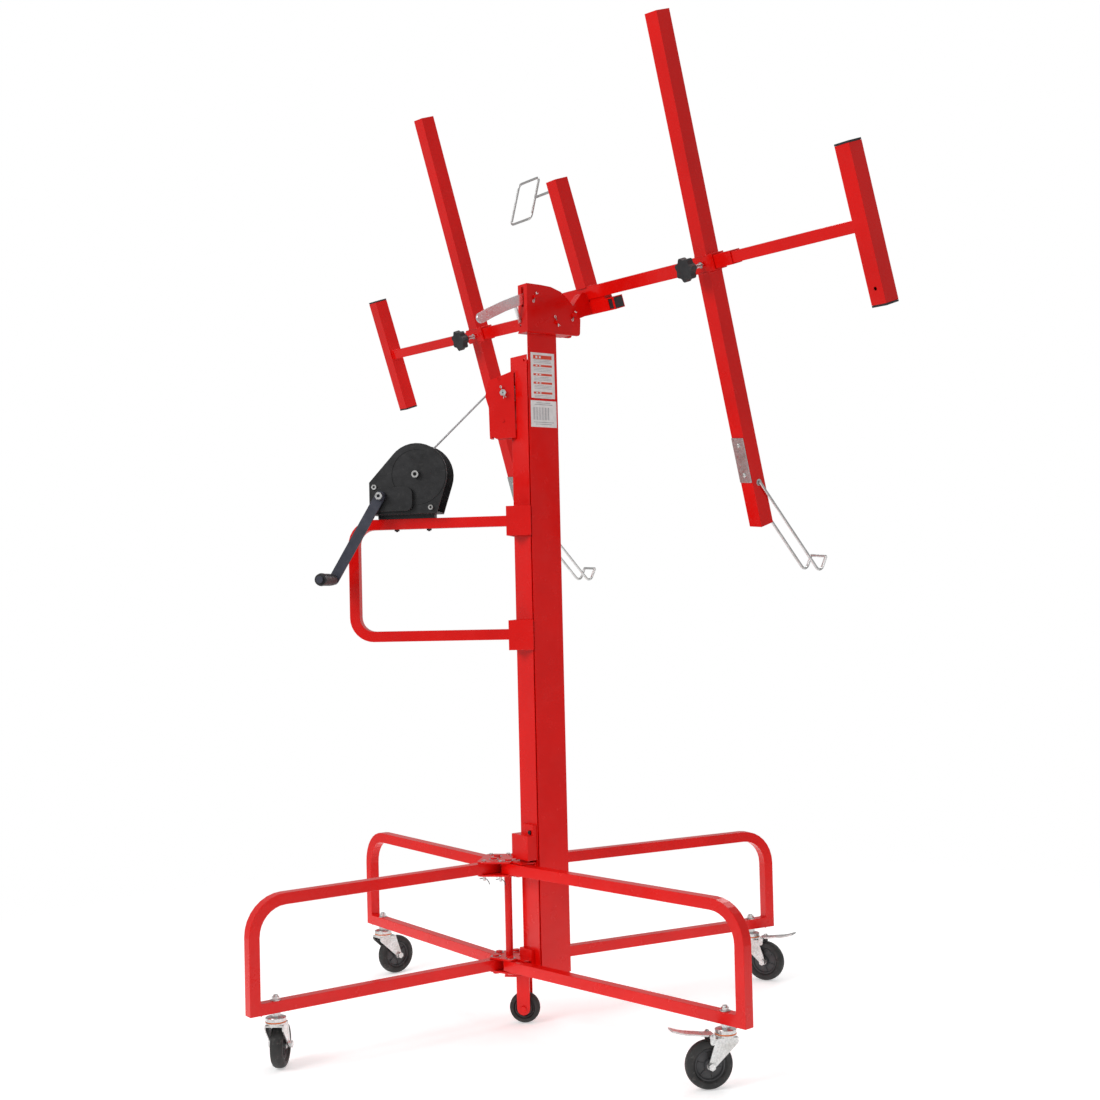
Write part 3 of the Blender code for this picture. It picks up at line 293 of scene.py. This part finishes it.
def plated(name, light, dark, rough, grain=(1.0, 1.0, 1.0), tarnish=(0.42, 0.40, 0.36)):
    """Zinc plate or bare steel: spangle, streaks, and a duller film in patches."""
    made = Nodes(name)
    cells = made.add("ShaderNodeTexVoronoi")
    cells.inputs["Scale"].default_value = 240.0
    made.link(made.place, cells.inputs["Vector"])
    spangle = made.ramp(cells.outputs["Distance"], [(0.1, light), (0.9, dark)])
    film = made.span(made.noise(30.0, 6.0, 0.6), 0.0, 0.55, 0.46, 0.74)
    made.link(made.mix(film, spangle, tarnish), made.shader.inputs["Base Color"])
    streak = made.noise(150.0, 5.0, 0.6, grain)
    made.link(made.span(streak, *rough), made.shader.inputs["Roughness"])
    made.bump([(streak, 0.12, 0.0002), (made.noise(60.0, 3.0), 0.06, 0.0004)])
    made.set(Metallic=1.0)
    return made.material


def moulded(name, colour, pale, rough=(0.42, 0.62), grain=900.0, dusty=0.25):
    """Black paint, plastic or rubber: fine grain, chalky patches and dust."""
    made = Nodes(name)
    cloud = made.ramp(made.noise(24.0, 5.0), [(0.35, colour), (0.75, pale)])
    dust = made.span(made.noise(90.0, 7.0, 0.68), 0.0, dusty, 0.56, 0.80)
    made.link(made.mix(dust, cloud, (0.30, 0.28, 0.26)), made.shader.inputs["Base Color"])
    made.link(made.span(made.noise(60.0, 5.0), *rough), made.shader.inputs["Roughness"])
    fine, coarse = made.noise(grain, 3.0), made.noise(120.0, 3.0)
    made.bump([(fine, 0.22, 0.00025), (coarse, 0.10, 0.0005)])
    return made.material


def strands(name):
    """Steel rope: the lay of its strands as slanting bands."""
    made = Nodes(name)
    wave = made.add("ShaderNodeTexWave", wave_type="BANDS", bands_direction="DIAGONAL")
    wave.inputs["Scale"].default_value = 230.0
    wave.inputs["Distortion"].default_value = 0.6
    made.link(made.place, wave.inputs["Vector"])
    lay = wave.outputs["Fac"]
    made.link(made.ramp(lay, [(0.1, (0.16, 0.16, 0.17)), (0.75, (0.62, 0.62, 0.63))]),
              made.shader.inputs["Base Color"])
    made.link(made.span(made.noise(300.0), 0.28, 0.48), made.shader.inputs["Roughness"])
    made.bump([(lay, 0.7, 0.0006)])
    made.set(Metallic=1.0)
    return made.material


def printed(name, colour, pale, rough=0.42):
    """Printed film with faint ink mottle and paper fibre."""
    made = Nodes(name)
    ink = made.ramp(made.noise(70.0, 6.0), [(0.35, colour), (0.7, pale)])
    made.link(ink, made.shader.inputs["Base Color"])
    gloss = made.span(made.noise(120.0, 4.0), rough - 0.08, rough + 0.10)
    made.link(gloss, made.shader.inputs["Roughness"])
    made.bump([(made.noise(700.0, 2.0), 0.08, 0.0001)])
    return made.material


RED = powder_coat("red_powder_coat", (0.830, 0.0040, 0.0020), (0.700, 0.0030, 0.0016))
ZINC = plated("zinc_plate", (0.80, 0.80, 0.79), (0.58, 0.58, 0.58), (0.22, 0.42))
STEEL = plated("polished_steel", (0.93, 0.94, 0.95), (0.84, 0.85, 0.87), (0.16, 0.30), grain=(0.2, 3.0, 3.0),
               tarnish=(0.72, 0.73, 0.76))
ROPE = strands("steel_rope")
BLACK = moulded("black_satin_paint", (0.010, 0.010, 0.011), (0.022, 0.022, 0.024), (0.26, 0.42), 500.0, 0.10)
BLUE = moulded("blue_black_paint", (0.030, 0.033, 0.050), (0.052, 0.056, 0.080), (0.30, 0.48), 500.0, 0.12)
PLASTIC = moulded("black_plastic", (0.014, 0.014, 0.016), (0.040, 0.040, 0.043), (0.34, 0.52), 1100.0, 0.16)
RUBBER = moulded("black_rubber", (0.012, 0.012, 0.012), (0.034, 0.033, 0.032), (0.55, 0.78), 700.0, 0.30)
HUB_GREY = moulded("hub_plastic", (0.030, 0.030, 0.032), (0.070, 0.070, 0.074), (0.38, 0.55), 1100.0, 0.18)
ORANGE = moulded("orange_seal", (0.72, 0.145, 0.020), (0.86, 0.22, 0.040), (0.35, 0.5), 700.0, 0.10)
PAPER = printed("label_white", (0.80, 0.80, 0.79), (0.93, 0.93, 0.92))
INK_RED = printed("label_red", (0.72, 0.055, 0.020), (0.82, 0.10, 0.05))
INK_GREY = printed("label_grey", (0.26, 0.26, 0.28), (0.42, 0.42, 0.44))
SLOTS = {
    "red_paint": RED,
    "zinc": ZINC,
    "steel": STEEL,
    "rubber": RUBBER,
    "black_paint": BLACK,
    "blue_black_paint": BLUE,
    "black_plastic": PLASTIC,
}


# ------------------------------------------------------------- pieces


def place_piece(name, mesh_or_curve, material, body):
    made = bpy.data.objects.new(name, mesh_or_curve)
    bpy.context.scene.collection.objects.link(made)
    made.data.materials.append(material)
    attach(made, body)
    return made


def mesh_piece(name, shape, material, body, bevel=0.0, smooth=35, segments=2):
    bmesh.ops.recalc_face_normals(shape, faces=shape.faces)
    mesh = bpy.data.meshes.new(name)
    shape.to_mesh(mesh)
    shape.free()
    mesh.shade_smooth()
    mesh.set_sharp_from_angle(angle=math.radians(smooth))
    made = place_piece(name, mesh, material, body)
    if bevel:
        soften(made, bevel, segments)
    return made


def soften(item, width, segments=2, limit=38):
    edge = item.modifiers.new("edge", "BEVEL")
    edge.width = width
    edge.segments = segments
    edge.limit_method = "ANGLE"
    edge.angle_limit = math.radians(limit)
    edge.harden_normals = True


def block(name, centre, directions, size, material, body, bevel=0.0006):
    """A softened box: its middle, its three directions and its three sides."""
    shape = bmesh.new()
    bmesh.ops.create_cube(shape, size=1.0)
    turn = Matrix([direction * side for direction, side in zip(directions, size)]).transposed()
    bmesh.ops.transform(shape, matrix=Matrix.Translation(centre) @ turn.to_4x4(), verts=shape.verts)
    return mesh_piece(name, shape, material, body, bevel)


def turned(name, profile, centre, axis, steps, material, body, smooth=32):
    """A closed profile of (radius, height) turned about an axis."""
    shape = bmesh.new()
    frame_turn = Vector(axis).to_track_quat("Z", "Y").to_matrix().to_4x4()
    place = Matrix.Translation(centre) @ frame_turn
    rings = []
    for step in range(steps):
        angle = 2 * math.pi * step / steps
        out, side = math.cos(angle), math.sin(angle)
        rings.append([shape.verts.new(place @ Vector((r * out, r * side, h))) for r, h in profile])
    count = len(profile)
    for step in range(steps):
        here, ahead = rings[step], rings[(step + 1) % steps]
        for i in range(count):
            j = (i + 1) % count
            shape.faces.new((here[i], ahead[i], ahead[j], here[j]))
    return mesh_piece(name, shape, material, body, smooth=smooth)


def cord_curve(name, points, radius, material, body, closed=False, sides=3):
    curve = bpy.data.curves.new(name, "CURVE")
    curve.dimensions = "3D"
    curve.bevel_depth = radius
    curve.bevel_resolution = sides
    curve.use_fill_caps = not closed
    spline = curve.splines.new("POLY")
    spline.points.add(len(points) - 1)
    for slot_point, point in zip(spline.points, points):
        slot_point.co = (*point, 1.0)
    spline.use_cyclic_u = closed
    spline.use_smooth = True
    return place_piece(name, curve, material, body)


def ring_profile(inner, outer, low, high):
    """The section of a plain washer or bush."""
    return [(inner, low), (outer, low), (outer, high), (inner, high)]


def circle(centre, first, second, radius, steps):
    angles = [2 * math.pi * step / steps for step in range(steps)]
    return [centre + (first * math.cos(a) + second * math.sin(a)) * radius for a in angles]


def helix(start, run, first, second, radius, turns, steps):
    """Points of a coil that climbs along run, with the given steps in each turn."""
    points = []
    for step in range(turns * steps + 1):
        angle = 2 * math.pi * step / steps
        around = first * math.cos(angle) + second * math.sin(angle)
        points.append(start + run * step / (turns * steps) + around * radius)
    return points


def hex_nut(name, centre, axis, radius, height, bore, material, body):
    """A nut with a chamfered rim and a hole."""
    axis = Vector(axis).normalized()
    place = Matrix.Translation(centre) @ axis.to_track_quat("Z", "Y").to_matrix().to_4x4()
    shape = bmesh.new()
    rings = []
    for r, h, round_share in (
        (bore, 0, 1),
        (radius * 0.93, 0, 0.5),
        (radius, height * 0.18, 0),
        (radius, height * 0.82, 0),
        (radius * 0.93, height, 0.5),
        (bore, height, 1),
    ):
        ring = []
        for step in range(24):
            angle = 2 * math.pi * step / 24
            flat = math.cos(math.pi / 6) / math.cos((angle % (math.pi / 3)) - math.pi / 6)
            reach = r * (round_share + (1 - round_share) * flat)
            corner = Vector((reach * math.cos(angle), reach * math.sin(angle), h))
            ring.append(shape.verts.new(place @ corner))
        rings.append(ring)
    for i in range(len(rings)):
        here, ahead = rings[i], rings[(i + 1) % len(rings)]
        for step in range(24):
            after = (step + 1) % 24
            shape.faces.new((here[step], here[after], ahead[after], ahead[step]))
    return mesh_piece(name, shape, material, body, smooth=25)


def weld_bead(name, centre, across, along, half_across, half_along, body, radius=0.0018):
    """A closed weld run round a square tube, its surface lumpy."""
    points = []
    corners = [(-1, -1), (1, -1), (1, 1), (-1, 1)]
    for (u0, v0), (u1, v1) in zip(corners, corners[1:] + corners[:1]):
        for step in range(7):
            share = step / 7
            jitter = chance.uniform(-0.00025, 0.00025)
            u = (u0 + (u1 - u0) * share) * (half_across + jitter)
            v = (v0 + (v1 - v0) * share) * (half_along + jitter)
            points.append(centre + across * u + along * v)
    return cord_curve(name, points, radius, RED, body, closed=True, sides=2)


# ------------------------------------------------------------- the CAD nodes' finish

BEVELS = {"leg_frame": 0.0009, "cross_arm": 0.0012, "mast_": 0.0009, "handle_bracket": 0.0008}
SHARP = ("winch_cable", "top_wire_loop", "board_hook")


def finish_nodes():
    slot_of = {part["node"]: part["material_slot"] for part in frame["record"]["subparts"]}
    for name, node in NODES.items():
        node.data.materials.clear()
        node.data.materials.append(ROPE if name == "winch_cable" else SLOTS[slot_of[name]])
        if node.hide_render:
            continue
        weld = node.modifiers.new("weld", "WELD")
        weld.merge_threshold = 0.00002
        if not name.startswith(SHARP):
            width = next((w for key, w in BEVELS.items() if name.startswith(key)), 0.0006)
            soften(node, width, limit=40)
            flatten = node.modifiers.new("flatten", "WEIGHTED_NORMAL")
            flatten.weight = 100
            flatten.keep_sharp = True


# ------------------------------------------------------------- casters and base


def make_wheel(tag, body, node, joint, wheel):
    """A tyre on a moulded hub, in the place of the plain wheel."""
    radius, half, rim = wheel
    centre, axis = Vector(joint["pos_m"]), Vector(joint["axis"])
    tyre = [
        (rim - 0.0010, half * 0.62),
        (rim + 0.0006, half * 0.80),
        (rim + 0.0030, half * 0.97),
        (radius - 0.0105, half),
        (radius - 0.0065, half * 0.97),
        (radius - 0.0030, half * 0.82),
        (radius - 0.0010, half * 0.58),
        (radius - 0.0002, half * 0.30),
        (radius, 0.0),
    ]
    tyre += [(r, -h) for r, h in reversed(tyre[:-1])]
    tread = turned(tag + "_tyre", tyre, centre, axis, 72, RUBBER, body)
    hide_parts(node)
    hub = [
        (0.0058, half * 0.98),
        (0.0105, half * 0.98),
        (0.0118, half * 0.80),
        (0.0125, half * 0.42),
        (rim - 0.0060, half * 0.34),
        (rim - 0.0035, half * 0.62),
        (rim - 0.0012, half * 0.66),
    ]
    hub += [(r, -h) for r, h in reversed(hub)]
    turned(tag + "_hub", hub, centre, axis, 56, HUB_GREY, body)
    side = axis.orthogonal().normalized()
    rib_size = (rim - 0.0175, 0.0022, half * 1.06)
    for i in range(6):
        spoke = Matrix.Rotation(math.pi * i / 3, 3, axis) @ side
        middle = centre + spoke * (rim + 0.0045) / 2
        block("%s_rib_%d" % (tag, i), middle, (spoke, spoke.cross(axis), axis), rib_size, HUB_GREY, body,
              0.0004)
    bush = ring_profile(0.0056, 0.0082, half, -half)
    turned(tag + "_bush", bush, centre, axis, 32, ZINC, body)


def make_casters():
    seal = [(0.0185, 0.1086), (0.0222, 0.1088), (0.0229, 0.1100), (0.0222, 0.1112), (0.0185, 0.1114)]
    dust_cap = [(0.0070, 0.1184), (0.0205, 0.1184), (0.0195, 0.1198), (0.0120, 0.1206), (0.0070, 0.1206)]
    washer = ring_profile(0.0058, 0.0112, 0.1549, 0.1562)
    for tag in CASTERS:
        body = "caster_" + tag
        spin = JOINTS["wheel_spin_" + tag]
        make_wheel(body, "wheel_" + tag, "caster_wheel_" + tag, spin, CASTER_WHEEL)
        swivel = Vector(JOINTS["caster_swivel_" + tag]["pos_m"])
        at = Vector((swivel.x, swivel.y, 0))
        turned("seal_ring_" + tag, seal, at, Z, 56, ORANGE, body)
        turned("stem_washer_" + tag, washer, at, Z, 36, ZINC, body)
        turned("dust_cap_" + tag, dust_cap, at, Z, 48, ZINC, body)


def make_base_details():
    make_wheel("centre", "centre_wheel_body", "centre_wheel", JOINTS["centre_wheel_spin"], CENTRE_WHEEL)
    for tag in CASTERS:
        fold = Vector(JOINTS["leg_fold_" + tag]["pos_m"])
        swivel = Vector(JOINTS["caster_swivel_" + tag]["pos_m"])
        pivot = Vector((fold.x, fold.y, 0))
        out = Vector((swivel.x, swivel.y, 0)) - pivot
        out.normalize()
        make_leg_details(tag, pivot, out)
        for level in RAIL_LEVELS:
            mark = "%s_%d" % (tag, round(level * 1000))
            above, under = ring_profile(0.0052, 0.0118, 0, 0.0011), ring_profile(0.0052, 0.0118, 0, -0.0011)
            turned("washer_" + mark, above, pivot + Z * (level + HUB_REACH), Z, 32, ZINC, "base")
            turned("under_washer_" + mark, under, pivot + Z * (level - HUB_REACH), Z, 32, ZINC, "base")
    make_lock_pins()


def make_leg_details(tag, pivot, out):
    """The plug under a leg's end post and the welds of its lower rail."""
    body = "leg_" + tag
    side = Z.cross(out)
    plug = pivot + out * (LEG_ENDS[tag] - 0.0125) + Z * 0.1303
    block("foot_plug_" + tag, plug, (out, side, Z), (0.0196, 0.0196, 0.0020), PLASTIC, body,
          0.0005)
    for height in (0.1296, 0.1546):
        middle = pivot + out * (LEG_ENDS[tag] - 0.0262) + Z * height
        points = [middle + side * u for u in (-0.0115, -0.006, 0.0, 0.006, 0.0115)]
        name = "weld_%s_%d" % (tag, round(height * 10000))
        cord_curve(name, points, 0.0016, RED, body, sides=2)


def make_lock_pins():
    """Low-headed pins through the upper hub that hold the legs open, each kept by a wire clip below."""
    head = [(0.0001, 0), (0.0052, 0), (0.0052, 0.0026), (0.0044, 0.0034), (0.0001, 0.0038)]
    tip = [(0.0001, 0), (0.0034, 0), (0.0034, -0.0100), (0.0024, -0.0120), (0.0001, -0.0120)]
    clip = [
        Vector((-0.011, 0.001, -0.0078)),
        Vector((-0.004, 0, -0.0063)),
        Vector((0.005, 0, -0.0078)),
        Vector((0.011, -0.002, -0.0138)),
        Vector((0.013, -0.003, -0.0198)),
    ]
    for i, (x, y) in enumerate(HUB_PINS):
        turned("lock_pin_%d" % i, head, handle(x, y, HUB_TOP), Z, 28, ZINC, "base")
        low = handle(x, y, HUB_UNDERSIDE)
        turned("lock_pin_tip_%d" % i, tip, low, Z, 24, ZINC, "base")
        cord_curve("pin_clip_%d" % i, [low + bend for bend in clip], 0.0009, BLACK, "base")


# ------------------------------------------------------------- mast, labels


def strip(name, away, up, wide, tall, finish, proud):
    """A thin rectangle of print, proud of the mast's label face."""
    middle = mast(LABEL_FACE + proud, away, up)
    block(name, middle, (AWAY, Z, ACROSS), (wide, tall, 0.00012), finish, "lift_head", 0.00003)


def make_labels():
    """Two plain stickers: bars and rules only, nothing to read."""
    paper, ink, spot = 0.00016, 0.00030, 0.00042
    strip("label_upper", 0.0012, 1.533, 0.0685, 0.108, PAPER, paper)
    strip("label_lower", 0.0015, 1.4415, 0.0745, 0.063, PAPER, paper)
    for i, up in enumerate((1.5765, 1.5560, 1.5350, 1.5150, 1.4915)):
        tall = 0.0090 if i == 0 else 0.0050
        strip("label_bar_%d" % i, 0.0010, up, 0.0540, tall, INK_RED, ink)
        for k in range(2):
            strip("label_spot_%d_%d" % (i, k), -0.0165 + 0.010 * k, up, 0.0052, tall * 0.55, PAPER, spot)
        for k in range(3):
            rule = up - 0.0062 - 0.0034 * k
            strip("label_rule_%d_%d" % (i, k), 0.0010, rule, 0.0500, 0.0008, INK_GREY, ink)
    place = -0.0290
    for i in range(17):
        wide = (0.0006, 0.0011, 0.0017)[(i * 7 + i * i) % 3]
        strip("code_bar_%d" % i, place + wide / 2, 1.4420, wide, 0.0300, INK_GREY, ink)
        place += wide + (0.0013, 0.0024, 0.0018)[(i * 5) % 3]
    rules = ((1.4675, 0.040), (1.4635, 0.052), (1.4215, 0.058), (1.4170, 0.046))
    for i, (up, wide) in enumerate(rules):
        strip("code_rule_%d" % i, 0.0010, up, wide, 0.0012, INK_GREY, ink)


def make_mast_details():
    for tag, height in HANDLE_JOINS.items():
        weld_bead("weld_handle_" + tag, handle(-0.0642, 0, height), Y, Z, 0.0126, 0.0126, "base")
    bolt = mast(0.0180, -0.0535, 0.4560)
    hex_nut("socket_bolt", bolt, -AWAY, 0.0050, 0.0036, 0.0018, BLACK, "base")


# ------------------------------------------------------------- winch, cable, pulley


def split_pin(name, centre, axis, spread, length, body):
    """A split pin through a bolt's end, its legs bent apart."""
    axis = Vector(axis).normalized()
    spread = Vector(spread).normalized()
    for side in (-1, 1):
        bend = spread.cross(axis).normalized() * side
        points = [
            centre - spread * length * 0.55,
            centre,
            centre + spread * length * 0.25,
            centre + spread * length * 0.55 + bend * length * 0.14,
        ]
        cord_curve("%s_%d" % (name, side), points, 0.0011, ZINC, body)
    middle = centre - spread * (length * 0.55 + 0.0022)
    loop = circle(middle, spread, spread.cross(axis), 0.0024, 12)
    cord_curve(name + "_eye", loop, 0.0009, ZINC, body, closed=True)


def at_side(centre, y):
    """A point of the winch or pulley: its centre's X and Z, and its own Y."""
    return handle(centre[0], y, centre[1])


def make_winch_details():
    turns = helix(at_side(DRUM, -0.0225), Y * 0.0475, X, Z, 0.0186, 15, 24)
    cord_curve("cable_winding", turns, 0.0016, ROPE, "drum")
    for side, y in ((-1, -0.0455), (1, 0.0435)):
        name = "drum_nut_%d" % side
        hex_nut(name, at_side(DRUM, y), Y * side, 0.0096, 0.0062, 0.0045, ZINC, "base")
    for i, bolt in enumerate(FRAME_BOLTS):
        for side, y in ((-1, -0.0390), (1, 0.0368)):
            name = "frame_nut_%d_%d" % (i, side)
            hex_nut(name, at_side(bolt, y), Y * side, 0.0068, 0.0048, 0.0030, ZINC, "base")
    hex_nut("shaft_nut", at_side(CRANK_SHAFT, -0.0700), -Y, 0.0098, 0.0062, 0.0040, ZINC, "crank")
    rib = ring_profile(0.0600, 0.0725, -0.0389, -0.0398)
    turned("cheek_rib", rib, at_side(DRUM, 0), Y, 72, BLACK, "base")


def make_pulley_details():
    centre = at_side(PULLEY, CABLE_PLANE - 0.0180)
    hex_nut("pulley_bolt_head", centre + Y * 0.0003, -Y, 0.0085, 0.0050, 0.0020, ZINC, "base")
    split_pin("pulley_pin", centre + Y * -0.0015, Y, Vector((0.35, 0, -1)), 0.024, "base")


# ------------------------------------------------------------- head


def make_head_details():
    for i, (away, up, aim) in enumerate(HEAD_PINS):
        split_pin("head_pin_%d" % i, mast(0.0565, away, up), ACROSS, AWAY * 0.5 + Z * aim, 0.020, "lift_head")
    start, stop = mast(0.0235, -0.0505, 1.6500), mast(0.0300, -0.0720, 1.7010)
    run = stop - start
    side = run.orthogonal().normalized()
    other = run.cross(side).normalized()
    coil = helix(start + run * 0.12, run * 0.76, side, other, 0.0036, 15, 12)
    cord_curve("latch_spring", [start] + coil + [stop], 0.0007, ZINC, "lift_head", sides=2)


# ------------------------------------------------------------- cradle


def make_cradle_details():
    weld_bead("weld_post", cradle(0.030, 0, 0.0328), ACROSS, FACE, 0.0186, 0.0150, "cradle")
    directions = (BAR_RUN, FACE, BAR_UP)
    # Painted shade: a thin black plastic sheet inside the near notch of the left bar's stub and a black plate
    # across the stub's open end stand in for the shadow inside the hollow tube. They are not real parts.
    notch_shade, plug = bar_line(-1, 0.121, -0.0116, 0), bar_line(-1, 0.1335, 0, 0)
    notch_shade_size, end_shade_size = (0.0240, 0.0016, 0.0250), (0.0020, 0.0252, 0.0252)
    block("stub_notch_painted_shade", notch_shade, directions, notch_shade_size, PLASTIC, "cradle", 0.0003)
    block("bar_end_painted_shade", plug, directions, end_shade_size, PLASTIC, "cradle", 0.0005)
    for tag, side in SIDES.items():
        end = bar_line(side, side * BAR_END, 0, 0) - BAR_RUN * side * 0.0195
        weld_bead("weld_end_" + tag, end, FACE, BAR_UP, 0.0126, 0.0126, "extension_" + tag)
        make_arm_details(tag, bar_line(side, side * ARM_STATION, 0, 0))


def make_arm_details(tag, clamp):
    """Welds, caps, the clamp's nut and stud, rivets and washers of one cross arm."""
    run, up = arm_axes(tag)
    body = "arm_" + tag
    for level, sign in (("top", 1), ("foot", -1)):
        weld_bead("weld_%s_%s" % (level, tag), clamp + up * sign * 0.0192, run, FACE, 0.0188, 0.0178, body)
        cap = clamp + up * sign * (ARM_REACH[level, tag] - 0.0008)
        block("arm_cap_%s_%s" % (level, tag), cap, (run, FACE, up), (0.0336, 0.0336, 0.0016), PLASTIC, body,
              0.0006)
    hex_nut("clamp_nut_" + tag, clamp - FACE * 0.0190, -FACE, 0.0078, 0.0056, 0.0042, ZINC, body)
    for k in range(10):
        thread = circle(clamp - FACE * (0.0245 + 0.0016 * k), run, up, 0.0041, 16)
        cord_curve("stud_thread_%s_%d" % (tag, k), thread, 0.0005, ZINC, body, closed=True, sides=1)
    rivet = [(0.0001, 0.0), (0.0052, 0.0), (0.0046, 0.0014), (0.0026, 0.0026), (0.0001, 0.0029)]
    for k, height in enumerate((-0.412, -0.482)):
        at = clamp + up * height - FACE * 0.0222
        turned("saddle_rivet_%s_%d" % (tag, k), rivet, at, -FACE, 28, ZINC, body)
    pin = clamp + up * HOOK_PIVOT[tag]
    washer = ring_profile(0.0037, 0.0078, 0.0, 0.0007)
    for k in (-1, 1):
        turned("hook_washer_%s_%d" % (tag, k), washer, pin + run * k * 0.0191, run * k, 28, ZINC, body)


def make_floor():
    shape = bmesh.new()
    bmesh.ops.create_grid(shape, x_segments=1, y_segments=1, size=30.0)
    mesh = bpy.data.meshes.new("floor")
    shape.to_mesh(mesh)
    shape.free()
    floor = bpy.data.objects.new("floor", mesh)
    floor.location = (0, 0, -0.0006)
    bpy.context.scene.collection.objects.link(floor)
    made = Nodes("floor")
    tone = made.ramp(made.noise(2.5, 5.0), [(0.35, (0.93, 0.93, 0.93)), (0.7, (0.965, 0.965, 0.965))])
    made.link(tone, made.shader.inputs["Base Color"])
    made.link(made.span(made.noise(40.0), 0.55, 0.70), made.shader.inputs["Roughness"])
    made.bump([(made.noise(160.0), 0.05, 0.0004)])
    made.set(Specular_IOR_Level=0.15, Emission_Color=(1, 1, 1, 1), Emission_Strength=FLOOR_GLOW)
    distance = made.add("ShaderNodeVectorMath", operation="LENGTH")
    made.link(made.place, distance.inputs[0])
    fade = made.span(distance.outputs["Value"], 0.0, 1.0, *FLOOR_FADE)
    clear = made.add("ShaderNodeBsdfTransparent")
    either = made.add("ShaderNodeMixShader")
    made.link(fade, either.inputs["Fac"])
    made.link(made.shader.outputs["BSDF"], either.inputs[1])
    made.link(clear.outputs["BSDF"], either.inputs[2])
    made.link(either.outputs["Shader"], made.tree.nodes["Material Output"].inputs["Surface"])
    mesh.materials.append(made.material)


make_camera()
make_lights()
make_floor()
make_casters()
make_base_details()
make_labels()
make_mast_details()
make_winch_details()
make_pulley_details()
make_head_details()
make_cradle_details()
finish_nodes()
